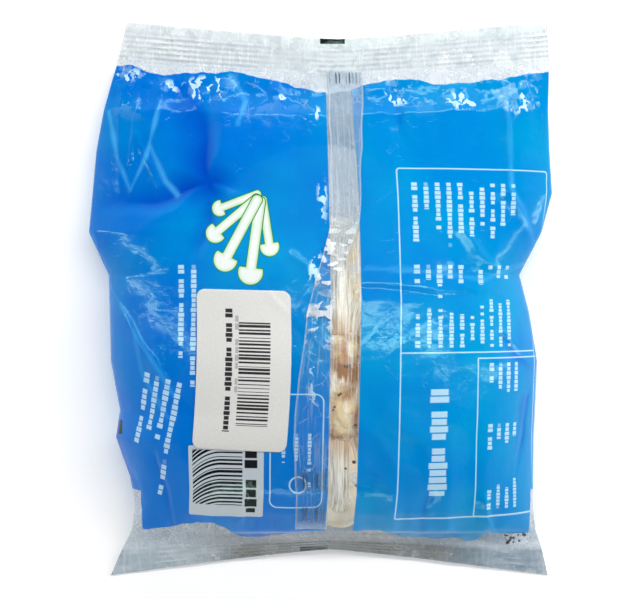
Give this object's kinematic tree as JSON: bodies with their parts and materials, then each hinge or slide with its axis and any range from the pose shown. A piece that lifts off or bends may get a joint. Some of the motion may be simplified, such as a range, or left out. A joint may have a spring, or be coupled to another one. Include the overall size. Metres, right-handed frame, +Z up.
{
  "type": "bagged beech mushroom cluster",
  "caption": "Sealed flow-wrapped film bag, lying on its front with its back seam up, holding a cluster of white beech mushrooms.",
  "frame": {"origin": "middle of the bag's outline, on the surface that it lies on", "axes": "+X across the bag, +Y along it towards the top seal, +Z up out of the back panel"},
  "size_m": [0.1526, 0.1854, 0.0485],
  "materials": {
    "printed_film": "printed polypropylene film, glossy and crinkled",
    "clear_film": "clear polypropylene film, glossy, crimped by the sealing jaws",
    "label_paper": "smooth white thermal paper label",
    "mushroom_flesh": null,
    "cut_base": null,
    "block_crumb": null
  },
  "bodies": {
    "root": {"film_tube": "printed_film", "top_end_seal": "clear_film", "bottom_end_seal": "clear_film", "back_fin_seal": "clear_film", "price_label": "label_paper", "cluster_base": "cut_base", "mushroom_01": "mushroom_flesh", "mushroom_02": "mushroom_flesh", "mushroom_03": "mushroom_flesh", "mushroom_04": "mushroom_flesh", "mushroom_05": "mushroom_flesh", "mushroom_06": "mushroom_flesh", "mushroom_07": "mushroom_flesh", "mushroom_08": "mushroom_flesh", "mushroom_09": "mushroom_flesh", "mushroom_10": "mushroom_flesh", "mushroom_11": "mushroom_flesh", "mushroom_12": "mushroom_flesh", "mushroom_13": "mushroom_flesh", "mushroom_14": "mushroom_flesh", "mushroom_15": "mushroom_flesh", "mushroom_16": "mushroom_flesh", "mushroom_17": "mushroom_flesh", "mushroom_18": "mushroom_flesh", "mushroom_19": "mushroom_flesh", "mushroom_20": "mushroom_flesh", "mushroom_21": "mushroom_flesh", "mushroom_22": "mushroom_flesh", "mushroom_23": "mushroom_flesh", "mushroom_24": "mushroom_flesh", "mushroom_25": "mushroom_flesh", "mushroom_26": "mushroom_flesh", "mushroom_27": "mushroom_flesh", "mushroom_28": "mushroom_flesh", "mushroom_29": "mushroom_flesh", "mushroom_30": "mushroom_flesh", "mushroom_31": "mushroom_flesh", "mushroom_32": "mushroom_flesh", "mushroom_33": "mushroom_flesh", "mushroom_34": "mushroom_flesh", "mushroom_35": "mushroom_flesh", "mushroom_36": "mushroom_flesh", "mushroom_37": "mushroom_flesh", "mushroom_38": "mushroom_flesh", "mushroom_39": "mushroom_flesh", "mushroom_40": "mushroom_flesh", "mushroom_41": "mushroom_flesh", "loose_mushroom": "mushroom_flesh", "stem_chip": "mushroom_flesh", "block_crumb_01": "block_crumb", "block_crumb_02": "block_crumb", "block_crumb_03": "block_crumb", "block_crumb_04": "block_crumb", "block_crumb_05": "block_crumb"}
  },
  "joints": []
}
